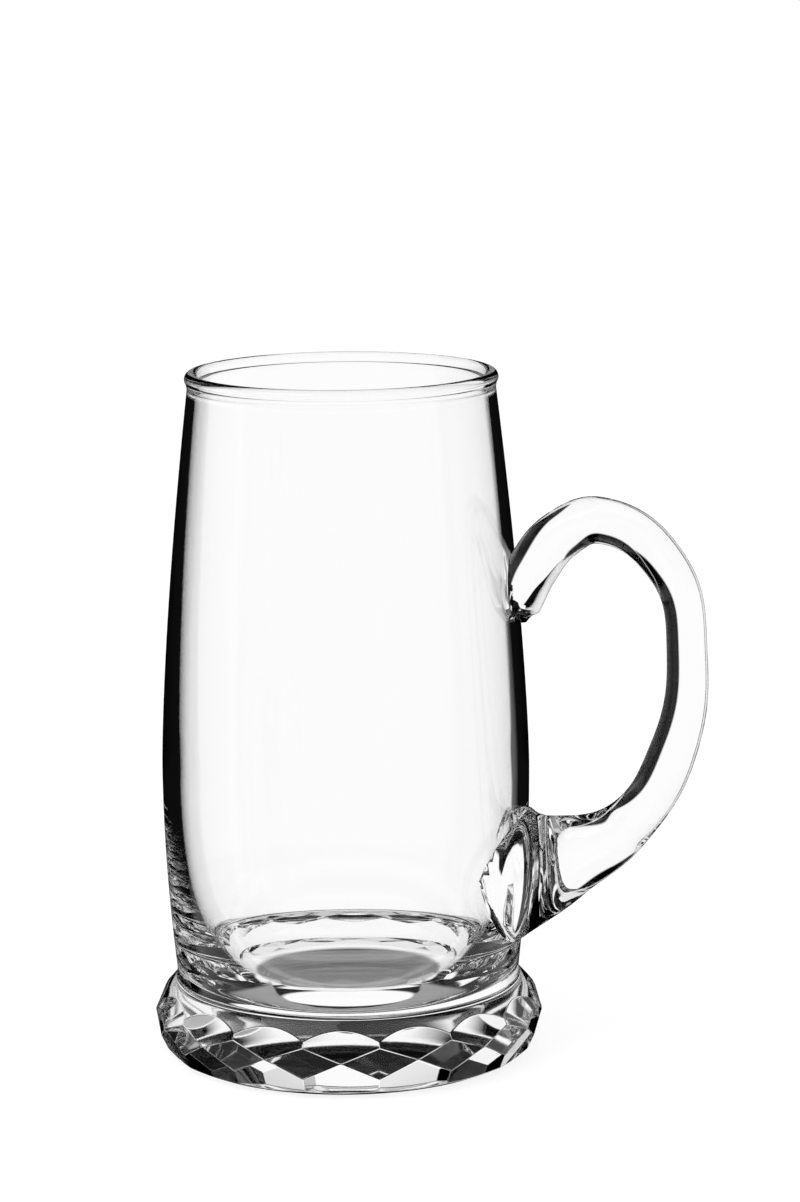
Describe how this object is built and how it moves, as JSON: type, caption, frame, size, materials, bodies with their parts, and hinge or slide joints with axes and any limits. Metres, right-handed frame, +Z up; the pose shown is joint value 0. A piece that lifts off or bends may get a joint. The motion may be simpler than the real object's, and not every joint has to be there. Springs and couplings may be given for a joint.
{
  "type": "cut glass beer mug",
  "caption": "Tall barrel-shaped clear glass beer mug with a solid facet-cut spreading foot and an ear-shaped applied handle.",
  "frame": {"origin": "centre of the flat base, on the surface that the mug stands on", "axes": "+Z up along the bowl's axis, +X towards the handle, +Y across the handle's plane"},
  "size_m": [0.1338, 0.0924, 0.165],
  "materials": {
    "blown_glass": "clear, fire polished",
    "cut_glass": "clear, cut and polished",
    "drawn_glass": "clear, fire polished"
  },
  "bodies": {
    "root": {"bowl": "blown_glass", "foot": "cut_glass", "handle": "drawn_glass"}
  },
  "joints": []
}
